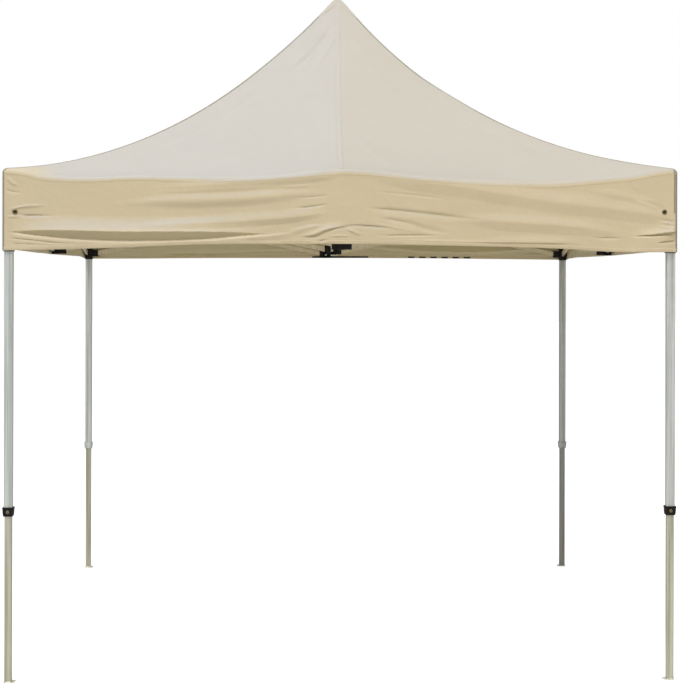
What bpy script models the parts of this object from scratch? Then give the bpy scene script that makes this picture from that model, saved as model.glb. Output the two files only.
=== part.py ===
"""A 3 m by 3 m marquee tent on a folding frame, open, with its legs drawn out.

Metres, +Z up. The origin is on the floor under the peak, and the front faces -Y.
Every side and corner is the front one turned a quarter round the middle.
"""

import math

import bmesh
import bpy
from mathutils import Matrix, Vector

SIDES = ("front", "right", "back", "left")
CORNERS = ("front_right", "back_right", "back_left", "front_left")
QUARTER = math.radians(90)
GAP = 0.0003  # between pieces that touch

# Canopy
HALF = 1.5  # from the middle to the outer face of a valance
EAVE = 2.275
PEAK = 3.28
HEM_CORNER = 1.912
HEM_MIDDLE = 1.945
HEM_POWER = 2.5  # how late the hem drops towards the corners
CLOTH = 0.004
FOOT_SLOPE = 0.14  # share of the rise that is a straight slope, the rest is a parabola
PEAK_ROUND = 0.012  # rounding of the peak, as a share of HALF
EAVE_SAG = 0.045  # between a corner and the middle of a side
SAG_FADE = 3  # how fast the sag dies out up the roof
SEAM_GAP = 0.00025  # at each side of a seam along a hip
PEAK_HOLE = 0.002
ROOF_ROWS = 14
ROW_CROWDING = 2.2  # rows lie closer together near the peak
VALANCE_ROWS = 2
COLUMNS = 12

# Legs
LEG_AXIS = 1.474
UPPER_LEG = 0.038
UPPER_WALL = 0.0015
LOWER_LEG = 0.032
LOWER_LEG_TOP = 0.95
LEG_ROUND = 0.004
COLLAR = 0.050
COLLAR_LOW = 0.736
COLLAR_HIGH = 0.776
COLLAR_LIP = 0.004
COLLAR_PLAY = 0.0005  # each side of the lower leg
FOOT_THICKNESS = 0.003
FOOT_OUTER = 0.018
FOOT_INNER = 0.030
PEG_HOLE = 0.0235  # from the leg's axis, inwards both ways
PEG_HOLE_RADIUS = 0.0045

# Folding frame
TOP_PIVOT = 2.235
LOW_PIVOT = 1.945
OUTER_PIVOT = 0.045  # from the leg's axis to the pivot
INNER_PIVOT = 0.032  # from the middle of a side to the pivot
BAR_HEIGHT = 0.025
BAR_THICKNESS = 0.012
BAR_OFFSET = 0.007  # each bar of a pair lies this far from their common plane
BAR_END_ROUND = 0.011
PIN_RADIUS = 0.003
RIVET_RADIUS = 0.004
RIVET_HEAD = 0.002
SLEEVE = 0.0426
CHEEK = 0.003
ARM_END = 0.0125  # past the pivot
SLOT_ROOT = 0.0145  # from the pivot back to the end of the slot
ARM_HALF_HEIGHT = 0.020
BLOCK_HALF_HEIGHT = 0.026
CAP_PLATE = 0.003
CORE_PROUD = 0.001  # of the arms
SLIDER_LOW = 1.908
SLIDER_HIGH = 1.985

# Peak
POLE_RADIUS = 0.0125
POLE_LOW = 1.912
POLE_HIGH = 3.240
CAP_ROWS = 2  # rows of the roof that rest on the cap
CAP_LOW = 3.230
ROUND_SIDES = 16
PIN_SIDES = 8


def clear_scene():
    for obj in list(bpy.data.objects):
        bpy.data.objects.remove(obj, do_unlink=True)


def make_material(name, color, roughness, metallic=0.0):
    material = bpy.data.materials.new(name)
    material.use_nodes = True
    shader = material.node_tree.nodes["Principled BSDF"]
    shader.inputs["Base Color"].default_value = (*color, 1.0)
    shader.inputs["Roughness"].default_value = roughness
    shader.inputs["Metallic"].default_value = metallic
    return material


def mesh_of(name, work):
    """The mesh of a finished bmesh, its faces turned outwards."""
    mesh = bpy.data.meshes.new(name)
    bmesh.ops.recalc_face_normals(work, faces=work.faces)
    if work.calc_volume(signed=True) < 0:
        bmesh.ops.reverse_faces(work, faces=work.faces)
    work.to_mesh(mesh)
    work.free()
    return mesh


def block(low, high, edge_round=0.0):
    """A box between two corners, its upright edges rounded."""
    work = bmesh.new()
    low, high = Vector(low), Vector(high)
    middle = Matrix.Translation((low + high) / 2)
    bmesh.ops.create_cube(work, size=1.0, matrix=middle @ Matrix.Diagonal((*(high - low), 1.0)))
    if edge_round:
        upright = [e for e in work.edges if abs((e.verts[0].co - e.verts[1].co).normalized().z) > 0.9]
        bmesh.ops.bevel(work, geom=upright, offset=edge_round, segments=2, profile=0.5, affect="EDGES")
    return mesh_of("block", work)


def post(width, low, high, edge_round=0.0):
    """A square post round the Z axis."""
    return block((-width / 2, -width / 2, low), (width / 2, width / 2, high), edge_round)


def rod(start, end, radius, sides):
    work = bmesh.new()
    start, end = Vector(start), Vector(end)
    along = end - start
    place = Matrix.Translation((start + end) / 2) @ along.to_track_quat("Z", "Y").to_matrix().to_4x4()
    bmesh.ops.create_cone(
        work, cap_ends=True, segments=sides, radius1=radius, radius2=radius,
        depth=along.length, matrix=place,
    )
    return mesh_of("rod", work)


def turned(mesh, angle, offset=(0.0, 0.0, 0.0)):
    """A copy of a mesh, turned round Z and then moved."""
    copy = mesh.copy()
    copy.transform(Matrix.Translation(offset) @ Matrix.Rotation(angle, 4, "Z"))
    return copy


def carved(blank, joins=(), cuts=()):
    """The mesh of a blank with other shapes joined to it and then others cut from it."""
    base = bpy.data.objects.new("blank", blank)
    helpers = [base]
    for operation, shapes in (("UNION", joins), ("DIFFERENCE", cuts)):
        for shape in shapes:
            helper = bpy.data.objects.new("helper", shape)
            helpers.append(helper)
            step = base.modifiers.new(operation, "BOOLEAN")
            step.operation = operation
            step.object = helper
    for helper in helpers:
        cutters.objects.link(helper)
    graph = bpy.context.evaluated_depsgraph_get()
    mesh = bpy.data.meshes.new_from_object(base.evaluated_get(graph))
    for helper in helpers:
        bpy.data.objects.remove(helper)
    return mesh


def add_piece(name, mesh, material, parent, location=(0.0, 0.0, 0.0), turn=0.0):
    mesh.materials.clear()
    mesh.materials.append(material)
    obj = bpy.data.objects.new(name, mesh)
    obj.location = location
    obj.rotation_euler = (0.0, 0.0, turn)
    obj.parent = parent
    parts.objects.link(obj)
    return obj


# Canopy shapes


def roof_height(u):
    """Height of the roof's upper face, from u = 0 at the peak to u = 1 at the eave."""
    rounded = (math.hypot(u, PEAK_ROUND) - PEAK_ROUND) / (math.hypot(1, PEAK_ROUND) - PEAK_ROUND)
    climb = 1 - rounded
    return EAVE + (PEAK - EAVE) * (FOOT_SLOPE * climb + (1 - FOOT_SLOPE) * climb**2)


def eave_sag(t):
    """Sag of the eave, from t = -1 at one corner over the held middle to t = 1 at the other."""
    return EAVE_SAG * 4 * abs(t) * (1 - abs(t))


def canopy_height(across, out):
    """Height of the roof's upper face, out from the middle towards a side and across it."""
    u = out / HALF
    return roof_height(u) - eave_sag(across / out) * u**SAG_FADE


def hem_height(t):
    return HEM_MIDDLE - (HEM_MIDDLE - HEM_CORNER) * abs(t) ** HEM_POWER


def roof_row(row):
    """Distance of a row from the middle, from row = 0 at the peak to row = 1 at the eave."""
    return PEAK_HOLE + (HALF - PEAK_HOLE) * row**ROW_CROWDING


def roof_point(column, row, layer):
    """A width of cloth from the seam down the middle of a roof panel to the hip on its right."""
    out = roof_row(row)
    share = (1 + column) / 2
    across = SEAM_GAP + share * (out - 2 * SEAM_GAP)
    return across, -out, canopy_height(across, out) - CLOTH * layer


def mirrored_roof_point(column, row, layer):
    """The same width of cloth on the left."""
    across, along, height = roof_point(-column, row, layer)
    return -across, along, height


def valance_point(column, row, layer):
    """A strip under the edge of the roof, mitred at the corners."""
    out = HALF - CLOTH * layer
    top = EAVE - eave_sag(column) - CLOTH - GAP
    hem = hem_height(column)
    return column * (out - SEAM_GAP), -out, hem + (top - hem) * row


def cloth_panel(point, columns, rows):
    """A closed panel. Its grid's column runs from -1 to 1, its row and layer from 0 to 1."""
    work = bmesh.new()
    half_size = 0.5
    bmesh.ops.create_grid(work, x_segments=columns, y_segments=rows, size=half_size)
    skin = bmesh.ops.extrude_face_region(work, geom=work.faces[:])
    for vert in skin["geom"]:
        if isinstance(vert, bmesh.types.BMVert):
            vert.co.z = 1.0
    for vert in work.verts:
        vert.co = point(2 * vert.co.x, vert.co.y + half_size, vert.co.z)
    return mesh_of("panel", work)


def peak_cap_mesh():
    """The turned cap that holds the cloth up. Its top follows the cloth's lower face."""
    radii = [roof_row(row / ROOF_ROWS) for row in range(CAP_ROWS + 1)]
    socket, seat = POLE_RADIUS + GAP, POLE_HIGH + GAP
    outline = [(radius, roof_height(radius / HALF) - CLOTH - GAP) for radius in radii]
    outline[0] = (0.0, outline[0][1])
    outline += [(radii[-1], CAP_LOW), (socket, CAP_LOW), (socket, seat), (0.0, seat)]
    work = bmesh.new()
    corners = [work.verts.new((radius, 0.0, height)) for radius, height in outline]
    edges = [work.edges.new(pair) for pair in zip(corners, corners[1:])]
    bmesh.ops.spin(
        work, geom=corners + edges, axis=(0, 0, 1), cent=(0, 0, 0),
        angle=4 * QUARTER, steps=ROUND_SIDES, use_merge=True, use_duplicate=False,
    )
    bmesh.ops.remove_doubles(work, verts=work.verts[:], dist=1e-6)
    return mesh_of("peak_cap", work)


# Frame shapes


def bar(start, end):
    """A flat bar from pivot to pivot, with rounded ends."""
    start, end = Vector(start), Vector(end)
    along = end - start
    work = bmesh.new()
    size = Matrix.Diagonal((along.length + BAR_HEIGHT, BAR_THICKNESS, BAR_HEIGHT, 1.0))
    bmesh.ops.create_cube(work, size=1.0, matrix=size)
    ends = [e for e in work.edges if abs(e.verts[0].co.y - e.verts[1].co.y) > BAR_THICKNESS / 2]
    bmesh.ops.bevel(work, geom=ends, offset=BAR_END_ROUND, segments=2, profile=0.5, affect="EDGES")
    tilt = math.atan2(along.z, along.x)
    place = Matrix.Translation((start + end) / 2) @ Matrix.Rotation(-tilt, 4, "Y")
    bmesh.ops.transform(work, matrix=place, verts=work.verts)
    return mesh_of("bar", work)


def cross_rod(x, z, plane, half_length, radius):
    """A rod along Y, such as a pin, round the plane of a bar."""
    return rod((x, plane - half_length, z), (x, plane + half_length, z), radius, PIN_SIDES)


def bar_pair_mesh():
    """Two crossed bars on one rivet, between a leg's pivots and the middle's."""
    outer, inner = LEG_AXIS - OUTER_PIVOT, INNER_PIVOT
    falling = bar((inner, -BAR_OFFSET, LOW_PIVOT), (outer, -BAR_OFFSET, TOP_PIVOT))
    rising = bar((inner, BAR_OFFSET, TOP_PIVOT), (outer, BAR_OFFSET, LOW_PIVOT))
    rivet_half = BAR_OFFSET + BAR_THICKNESS / 2 + RIVET_HEAD
    rivet = cross_rod((inner + outer) / 2, (LOW_PIVOT + TOP_PIVOT) / 2, 0.0, rivet_half, RIVET_RADIUS)
    ends = (
        (inner, LOW_PIVOT, -BAR_OFFSET), (outer, TOP_PIVOT, -BAR_OFFSET),
        (inner, TOP_PIVOT, BAR_OFFSET), (outer, LOW_PIVOT, BAR_OFFSET),
    )
    holes = [cross_rod(x, z, plane, BAR_THICKNESS / 2 + GAP, PIN_RADIUS + GAP) for x, z, plane in ends]
    return carved(falling, joins=(rising, rivet), cuts=holes)


def fitting(core, arms, pivot, plane, low, high, cuts=()):
    """A core with forked arms. Each arm is its turn and its pivot's distance, and holds one bar's end."""
    slot_half = BAR_THICKNESS / 2 + GAP
    fork_half = slot_half + CHEEK
    joins, slots, pins = [], [], []
    for turn, reach in arms:
        tip = reach + ARM_END
        joins.append(turned(block((0, plane - fork_half, low), (tip, plane + fork_half, high)), turn))
        slot = block(
            (reach - SLOT_ROOT, plane - slot_half, low - CHEEK),
            (tip + CHEEK, plane + slot_half, high + CHEEK),
        )
        slots.append(turned(slot, turn))
        pins.append(turned(cross_rod(reach, pivot, plane, fork_half - GAP, PIN_RADIUS), turn))
    return carved(carved(core, joins=joins, cuts=(*slots, *cuts)), joins=pins)


def corner_bracket_mesh(top):
    low = TOP_PIVOT - BLOCK_HALF_HEIGHT
    core = post(SLEEVE, low, top)
    bore = post(UPPER_LEG + 2 * GAP, low - CHEEK, top - CAP_PLATE)
    arms = ((QUARTER, OUTER_PIVOT), (2 * QUARTER, OUTER_PIVOT))
    arm_low, arm_high = TOP_PIVOT - ARM_HALF_HEIGHT, TOP_PIVOT + ARM_HALF_HEIGHT
    return fitting(core, arms, TOP_PIVOT, BAR_OFFSET, arm_low, arm_high, (bore,))


def corner_slider_mesh():
    core = post(SLEEVE, SLIDER_LOW, SLIDER_HIGH)
    bore = post(UPPER_LEG + 2 * GAP, SLIDER_LOW - CHEEK, SLIDER_HIGH + CHEEK)
    arms = ((QUARTER, OUTER_PIVOT), (2 * QUARTER, OUTER_PIVOT))
    arm_low, arm_high = LOW_PIVOT - ARM_HALF_HEIGHT, LOW_PIVOT + ARM_HALF_HEIGHT
    return fitting(core, arms, LOW_PIVOT, -BAR_OFFSET, arm_low, arm_high, (bore,))


def side_bracket_mesh(pivot, plane, high):
    """The bracket in the middle of a side, with two arms along it and one inwards."""
    low = pivot - BLOCK_HALF_HEIGHT
    half_depth = BAR_OFFSET + BAR_THICKNESS / 2 + GAP + CHEEK
    core = post(2 * (half_depth + CORE_PROUD), low, high)
    arms = ((0.0, INNER_PIVOT), (QUARTER, OUTER_PIVOT), (2 * QUARTER, INNER_PIVOT))
    return fitting(core, arms, pivot, plane, low + CORE_PROUD, high - CORE_PROUD)


def hub_mesh(pivot, plane):
    """The hub in the middle of the frame, with four arms and a bore for the pole."""
    low, high = pivot - BLOCK_HALF_HEIGHT, pivot + BLOCK_HALF_HEIGHT
    half_depth = BAR_OFFSET + BAR_THICKNESS / 2 + GAP + CHEEK
    core = post(2 * (half_depth + CORE_PROUD), low, high)
    bore = rod((0, 0, low - CHEEK), (0, 0, high + CHEEK), POLE_RADIUS + GAP, ROUND_SIDES)
    arms = [(turn * QUARTER, INNER_PIVOT) for turn in range(4)]
    return fitting(core, arms, pivot, plane, low + CORE_PROUD, high - CORE_PROUD, (bore,))


def upper_leg_mesh(top):
    bottom = COLLAR_LOW + COLLAR_LIP + GAP
    tube = post(UPPER_LEG, bottom, top, LEG_ROUND)
    bore = post(UPPER_LEG - 2 * UPPER_WALL, bottom - CHEEK, top + CHEEK, LEG_ROUND - UPPER_WALL)
    return carved(tube, cuts=(bore,))


def collar_mesh():
    body = post(COLLAR, COLLAR_LOW, COLLAR_HIGH, LEG_ROUND)
    seat = post(UPPER_LEG + 2 * GAP, COLLAR_LOW + COLLAR_LIP, COLLAR_HIGH + CHEEK)
    lip = post(LOWER_LEG + 2 * COLLAR_PLAY, COLLAR_LOW - CHEEK, COLLAR_LOW + 2 * COLLAR_LIP)
    return carved(body, cuts=(seat, lip))


def lower_leg_mesh():
    """The inner leg with its foot plate, whose inner corner has a hole for a ground peg."""
    leg = post(LOWER_LEG, FOOT_THICKNESS / 2, LOWER_LEG_TOP, LEG_ROUND)
    plate = block((-FOOT_INNER, -FOOT_OUTER, 0.0), (FOOT_OUTER, FOOT_INNER, FOOT_THICKNESS))
    hole_top = 2 * FOOT_THICKNESS
    hole = rod((-PEG_HOLE, PEG_HOLE, -hole_top), (-PEG_HOLE, PEG_HOLE, hole_top), PEG_HOLE_RADIUS, PIN_SIDES)
    return carved(plate, joins=(leg,), cuts=(hole,))


def build_canopy(quarters, cloth):
    left_roof = cloth_panel(mirrored_roof_point, COLUMNS // 2, ROOF_ROWS)
    right_roof = cloth_panel(roof_point, COLUMNS // 2, ROOF_ROWS)
    valance = cloth_panel(valance_point, COLUMNS, VALANCE_ROWS)
    for side, quarter in zip(SIDES, quarters):
        add_piece(f"roof_panel_{side}_a", left_roof, cloth, quarter)
        add_piece(f"roof_panel_{side}_b", right_roof, cloth, quarter)
        add_piece(f"valance_{side}", valance, cloth, quarter)


def build_corners(quarters, upper_metal, lower_metal, plastic):
    inner_face, outer_face = LEG_AXIS - SLEEVE / 2, LEG_AXIS + SLEEVE / 2
    bracket_top = canopy_height(inner_face, outer_face) - CLOTH - GAP
    pieces = (
        ("upper_leg", upper_leg_mesh(bracket_top - CAP_PLATE - GAP), upper_metal),
        ("lower_leg", lower_leg_mesh(), lower_metal),
        ("leg_collar", collar_mesh(), plastic),
        ("corner_bracket", corner_bracket_mesh(bracket_top), plastic),
        ("corner_slider", corner_slider_mesh(), plastic),
    )
    for corner, quarter in zip(CORNERS, quarters):
        for name, mesh, material in pieces:
            add_piece(f"{name}_{corner}", mesh, material, quarter, (LEG_AXIS, -LEG_AXIS, 0))


def build_trusses(quarters, bar_metal, plastic):
    pair = bar_pair_mesh()
    half_depth = BAR_OFFSET + BAR_THICKNESS / 2 + GAP + CHEEK
    bracket_top = canopy_height(INNER_PIVOT + ARM_END, LEG_AXIS + half_depth) - CLOTH - GAP
    upper = side_bracket_mesh(TOP_PIVOT, BAR_OFFSET, bracket_top)
    lower = side_bracket_mesh(LOW_PIVOT, -BAR_OFFSET, LOW_PIVOT + BLOCK_HALF_HEIGHT)
    on_side = (0, -LEG_AXIS, 0)
    for side, quarter in zip(SIDES, quarters):
        add_piece(f"bar_pair_{side}_a", pair, bar_metal, quarter, on_side)
        add_piece(f"bar_pair_{side}_b", pair, bar_metal, quarter, on_side, 2 * QUARTER)
        add_piece(f"bar_pair_middle_{side}", pair, bar_metal, quarter, turn=-QUARTER)
        add_piece(f"upper_side_bracket_{side}", upper, plastic, quarter, on_side)
        add_piece(f"lower_side_bracket_{side}", lower, plastic, quarter, on_side)


def build_middle(root, bar_metal, plastic):
    pole = rod((0, 0, POLE_LOW), (0, 0, POLE_HIGH), POLE_RADIUS, ROUND_SIDES)
    add_piece("hub_top", hub_mesh(TOP_PIVOT, BAR_OFFSET), plastic, root)
    add_piece("hub_bottom", hub_mesh(LOW_PIVOT, -BAR_OFFSET), plastic, root)
    add_piece("peak_pole", pole, bar_metal, root)
    add_piece("peak_cap", peak_cap_mesh(), plastic, root)


def add_empty(name, parent=None, turn=0.0):
    empty = bpy.data.objects.new(name, None)
    empty.rotation_euler = (0.0, 0.0, turn)
    empty.parent = parent
    parts.objects.link(empty)
    return empty


def shade_round_pieces():
    for obj in parts.objects:
        if obj.type == "MESH":
            obj.data.shade_smooth()
            obj.data.set_sharp_from_angle(angle=math.radians(35))


def build():
    cloth = make_material("canopy_cloth", (0.62, 0.56, 0.43), 0.75)
    upper_metal = make_material("upper_leg_metal", (0.62, 0.65, 0.62), 0.35, 0.8)
    lower_metal = make_material("lower_leg_metal", (0.52, 0.52, 0.42), 0.4, 0.8)
    bar_metal = make_material("bar_metal", (0.66, 0.67, 0.65), 0.4, 0.8)
    plastic = make_material("black_plastic", (0.02, 0.02, 0.02), 0.5)
    root = add_empty("marquee_tent_root")
    quarters = [add_empty(f"quarter_{side}", root, k * QUARTER) for k, side in enumerate(SIDES)]
    build_canopy(quarters, cloth)
    build_corners(quarters, upper_metal, lower_metal, plastic)
    build_trusses(quarters, bar_metal, plastic)
    build_middle(root, bar_metal, plastic)
    shade_round_pieces()


clear_scene()
parts = bpy.data.collections.new("marquee_tent")
cutters = bpy.data.collections.new("cutters")
for collection in (parts, cutters):
    bpy.context.scene.collection.children.link(collection)
build()
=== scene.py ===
"""Looks of the marquee tent: its sewn cover, its folding metal frame and its plastic fittings.

Metres, +Z up. The origin is on the floor under the peak, and the front faces -Y.
Each side's shapes are made as if it were the front one, and then turned round Z.
"""

import math
from collections import namedtuple

import bmesh
import bpy
import numpy as np
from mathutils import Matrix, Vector


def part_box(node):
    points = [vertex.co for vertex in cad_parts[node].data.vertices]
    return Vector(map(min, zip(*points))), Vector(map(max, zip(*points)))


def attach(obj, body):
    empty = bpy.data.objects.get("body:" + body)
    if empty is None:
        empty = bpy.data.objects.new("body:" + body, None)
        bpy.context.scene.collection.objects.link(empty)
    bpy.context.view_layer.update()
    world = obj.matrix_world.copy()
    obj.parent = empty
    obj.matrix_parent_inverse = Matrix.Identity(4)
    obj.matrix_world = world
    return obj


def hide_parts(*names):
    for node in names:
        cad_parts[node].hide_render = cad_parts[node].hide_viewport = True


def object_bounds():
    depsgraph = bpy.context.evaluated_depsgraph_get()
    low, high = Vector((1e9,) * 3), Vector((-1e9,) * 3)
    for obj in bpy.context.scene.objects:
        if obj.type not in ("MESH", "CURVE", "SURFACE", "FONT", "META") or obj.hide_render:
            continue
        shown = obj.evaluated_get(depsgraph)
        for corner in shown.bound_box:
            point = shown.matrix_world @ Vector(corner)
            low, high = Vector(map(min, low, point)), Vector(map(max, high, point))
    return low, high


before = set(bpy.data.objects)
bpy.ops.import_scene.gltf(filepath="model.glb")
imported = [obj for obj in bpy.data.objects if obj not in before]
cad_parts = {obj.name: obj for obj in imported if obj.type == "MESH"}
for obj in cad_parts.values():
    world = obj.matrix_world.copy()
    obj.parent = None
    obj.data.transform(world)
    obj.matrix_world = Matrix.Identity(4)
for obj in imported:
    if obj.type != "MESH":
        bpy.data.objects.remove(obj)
cad_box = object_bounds()

SIDES = ("front", "right", "back", "left")
CORNERS = ("front_right", "back_right", "back_left", "front_left")
QUARTER = math.pi / 2
SHARP_EDGE = math.radians(35)
ROUNDED_EDGE = math.radians(40)

# Cover
HALF = cad_box[1].x
EAVE = 2.275
PEAK = cad_box[1].z
FOOT_SLOPE = 0.14  # share of the roof's rise that is a straight slope, the rest is a parabola
PEAK_ROUND = 0.012  # as a share of HALF
SAG_FADE = 3  # how fast the eave's sag dies out up the roof
CORNER_ROUND = 0.012
EAVE_ROUND = 0.020
CLOTH = 0.0012
PEAK_HOLE = 0.003
ROOF_END = HALF - EAVE_ROUND
TURN_END = ROOF_END + EAVE_ROUND * QUARTER
HEM_LEVEL = 1.93
HEM_END = TURN_END + EAVE - EAVE_ROUND - HEM_LEVEL
ROOF_ROWS = 64
TURN_ROWS = 8
VALANCE_ROWS = 110
HALF_COLUMNS = 70
CORNER_COLUMNS = 4

# How far the eave lies below its corners, and the hem's height, from t = -1 at the left end to t = 1
EAVE_DROP = (
    (-1.0, 0.0), (-0.97, 0.003), (-0.94, 0.010), (-0.9, 0.026), (-0.8, 0.038), (-0.6, 0.029), (-0.45, 0.036),
    (-0.3, 0.033), (-0.15, 0.018), (-0.04, 0.002), (0.0, 0.0), (0.04, 0.001), (0.12, 0.009),
    (0.2, 0.022), (0.35, 0.040), (0.5, 0.054), (0.61, 0.060), (0.75, 0.045), (0.9, 0.020),
    (0.96, 0.003), (1.0, 0.0),
)
FRONT_HEM = (
    (-1.0, 1.913), (-0.8, 1.920), (-0.6, 1.931), (-0.45, 1.941), (-0.2, 1.945), (0.13, 1.945),
    (0.3, 1.940), (0.64, 1.928), (0.81, 1.914), (1.0, 1.913),
)
SIDE_HEM = (
    (-1.0, 1.913), (-0.85, 1.922), (-0.6, 1.922), (-0.25, 1.920), (0.0, 1.919), (0.25, 1.920),
    (0.6, 1.922), (0.85, 1.922), (1.0, 1.913),
)
BACK_HEM = (
    (-1.0, 1.913), (-0.7, 1.917), (-0.3, 1.921), (0.1, 1.920), (0.5, 1.918), (0.8, 1.914), (1.0, 1.913),
)
HEMS = (FRONT_HEM, SIDE_HEM, BACK_HEM, SIDE_HEM)

# A fold's path runs along the cloth at its crest. It stands out by its depth, or in where that is
# negative. It reaches above and below its path, with a round, sharp or lipped section, and fades out
# at its ends.
Fold = namedtuple("Fold", "path above below depth section fade", defaults=("round", (0.3, 0.3)))
# A tuck is a bulge that overhangs a hollow. Its crest and its hollow are paths. It reaches above its
# crest, stands out by its steepness times its height, and below its hollow the cloth flares out again.
Tuck = namedtuple("Tuck", "crest hollow above steep flare flare_reach")

# The front valance's folds, by distance across and height
VALANCE_FOLDS = (
    Fold(((-1.47, 1.967), (-1.38, 1.958), (-1.25, 1.945), (-1.15, 1.939)), 0.006, 0.007, -0.003, "sharp",
         (0.1, 0.4)),
    Fold(((-1.47, 1.944), (-1.38, 1.939), (-1.28, 1.934)), 0.005, 0.005, -0.002, "sharp", (0.1, 0.4)),
    Fold(((-1.0, 2.016), (-0.71, 2.030), (-0.47, 2.042), (-0.3, 2.054), (-0.18, 2.066), (-0.04, 2.085)),
         0.045, 0.026, 0.006, "lip", (0.5, 0.2)),
    # soft swells high on the left
    Fold(((-1.02, 2.115), (-0.83, 2.130), (-0.63, 2.136), (-0.43, 2.146), (-0.22, 2.163), (-0.06, 2.177)),
         0.040, 0.040, 0.006, "round", (0.4, 0.35)),
    Fold(((-0.85, 2.188), (-0.55, 2.207), (-0.31, 2.225), (-0.1, 2.243), (0.02, 2.252)), 0.030, 0.030, 0.004,
         "round", (0.4, 0.2)),
    Fold(((-0.28, 2.196), (-0.2, 2.200), (-0.13, 2.203)), 0.010, 0.012, 0.0016, "sharp"),
    Fold(((-0.85, 2.172), (-0.62, 2.180), (-0.4, 2.192), (-0.2, 2.205)), 0.020, 0.016, 0.002, "round",
         (0.4, 0.4)),
    # a fan of small creases left of the middle
    Fold(((-0.21, 2.104), (-0.13, 2.110), (-0.05, 2.124)), 0.010, 0.012, -0.003, "sharp"),
    Fold(((-0.2, 2.150), (-0.12, 2.154), (-0.05, 2.163)), 0.008, 0.009, -0.0018, "sharp"),
    Fold(((-0.24, 1.996), (-0.16, 2.014), (-0.08, 2.030)), 0.014, 0.018, 0.0035, "lip"),
    Fold(((0.02, 2.010), (0.045, 2.002), (0.09, 1.982)), 0.010, 0.012, 0.0045, "sharp"),
    Fold(((-0.06, 1.975), (-0.01, 1.982), (0.04, 1.978)), 0.006, 0.007, 0.003, "sharp"),
    Fold(((-0.62, 1.953), (-0.44, 1.970), (-0.27, 1.984), (-0.15, 2.010)), 0.012, 0.022, 0.0035, "lip",
         (0.4, 0.3)),
    Fold(((-0.15, 1.950), (-0.1, 1.957), (-0.05, 1.968)), 0.006, 0.008, -0.004, "sharp"),
    Fold(((-0.12, 1.944), (-0.08, 1.949), (-0.03, 1.956)), 0.005, 0.005, 0.0025, "sharp"),
    # creases that run down to the right from the middle
    Fold(((-0.04, 2.002), (0.02, 2.022), (0.12, 2.024), (0.23, 2.012)), 0.009, 0.014, -0.004, "sharp"),
    Fold(((0.1, 2.106), (0.31, 2.088), (0.47, 2.070), (0.66, 2.048)), 0.018, 0.030, -0.0045, "sharp",
         (0.2, 0.35)),
    Fold(((0.45, 2.068), (0.66, 2.048), (0.82, 2.038), (1.02, 2.024), (1.28, 1.990)), 0.045, 0.040, 0.006,
         "lip", (0.35, 0.35)),
    Fold(((0.17, 2.060), (0.29, 2.040), (0.40, 2.008), (0.48, 1.990)), 0.018, 0.024, -0.0042, "sharp",
         (0.2, 0.3)),
    Fold(((0.13, 2.040), (0.24, 2.018), (0.36, 1.992)), 0.010, 0.012, 0.002, "sharp", (0.3, 0.4)),
    Fold(((0.15, 1.982), (0.29, 1.984), (0.45, 1.985)), 0.008, 0.010, -0.0032, "sharp"),
    Fold(((0.55, 1.955), (0.8, 1.953), (1.05, 1.951)), 0.034, 0.006, 0.0035, "lip", (0.4, 0.2)),
    Fold(((0.25, 1.962), (0.5, 1.956), (0.75, 1.952)), 0.012, 0.010, 0.002),
    # the long diagonal from the top of the middle to the right eyelet
    Fold(((0.06, 2.254), (0.33, 2.220), (0.54, 2.197), (0.74, 2.163), (0.98, 2.126), (1.19, 2.104),
         (1.46, 2.070)), 0.060, 0.046, 0.006, "lip", (0.25, 0.08)),
    Fold(((0.12, 2.18), (0.3, 2.165), (0.5, 2.140)), 0.010, 0.012, -0.0016, "sharp"),
    Fold(((1.1, 2.180), (1.28, 2.150), (1.44, 2.100)), 0.035, 0.020, 0.003, "round", (0.4, 0.2)),
    # the right end, drawn to its eyelet and its seam
    Fold(((1.33, 2.146), (1.39, 2.126), (1.45, 2.098)), 0.012, 0.016, -0.004, "sharp", (0.4, 0.2)),
    Fold(((1.40, 1.950), (1.45, 1.957), (1.497, 1.963)), 0.006, 0.009, -0.006, "sharp", (0.4, 0.02)),
    Fold(((1.41, 2.062), (1.45, 2.054), (1.49, 2.048)), 0.007, 0.009, -0.003, "sharp", (0.4, 0.05)),
    Fold(((1.42, 2.044), (1.46, 2.040), (1.49, 2.034)), 0.006, 0.008, 0.0025, "sharp", (0.4, 0.05)),
    Fold(((1.12, 1.974), (1.19, 1.974), (1.26, 1.973)), 0.009, 0.012, -0.003, "sharp"),
    Fold(((1.4, 2.030), (1.45, 2.022), (1.49, 2.017)), 0.012, 0.012, 0.003, "sharp", (0.4, 0.05)),
    # the left end, drawn to its eyelet
    Fold(((-1.47, 2.092), (-1.42, 2.104), (-1.30, 2.114)), 0.010, 0.014, 0.004, "sharp", (0.1, 0.4)),
    Fold(((-1.467, 2.076), (-1.42, 2.070), (-1.25, 2.066)), 0.012, 0.014, -0.004, "sharp", (0.1, 0.5)),
    Fold(((-1.475, 2.058), (-1.42, 2.068), (-1.36, 2.076)), 0.008, 0.010, 0.003, "sharp", (0.1, 0.4)),
    Fold(((-1.48, 2.235), (-1.455, 2.210), (-1.43, 2.198)), 0.014, 0.014, 0.004, "sharp", (0.1, 0.4)),
    Fold(((-1.485, 2.180), (-1.46, 2.172), (-1.42, 2.168)), 0.010, 0.012, -0.003, "sharp", (0.1, 0.4)),
)

FOLD_STRENGTH = 1.25

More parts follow.
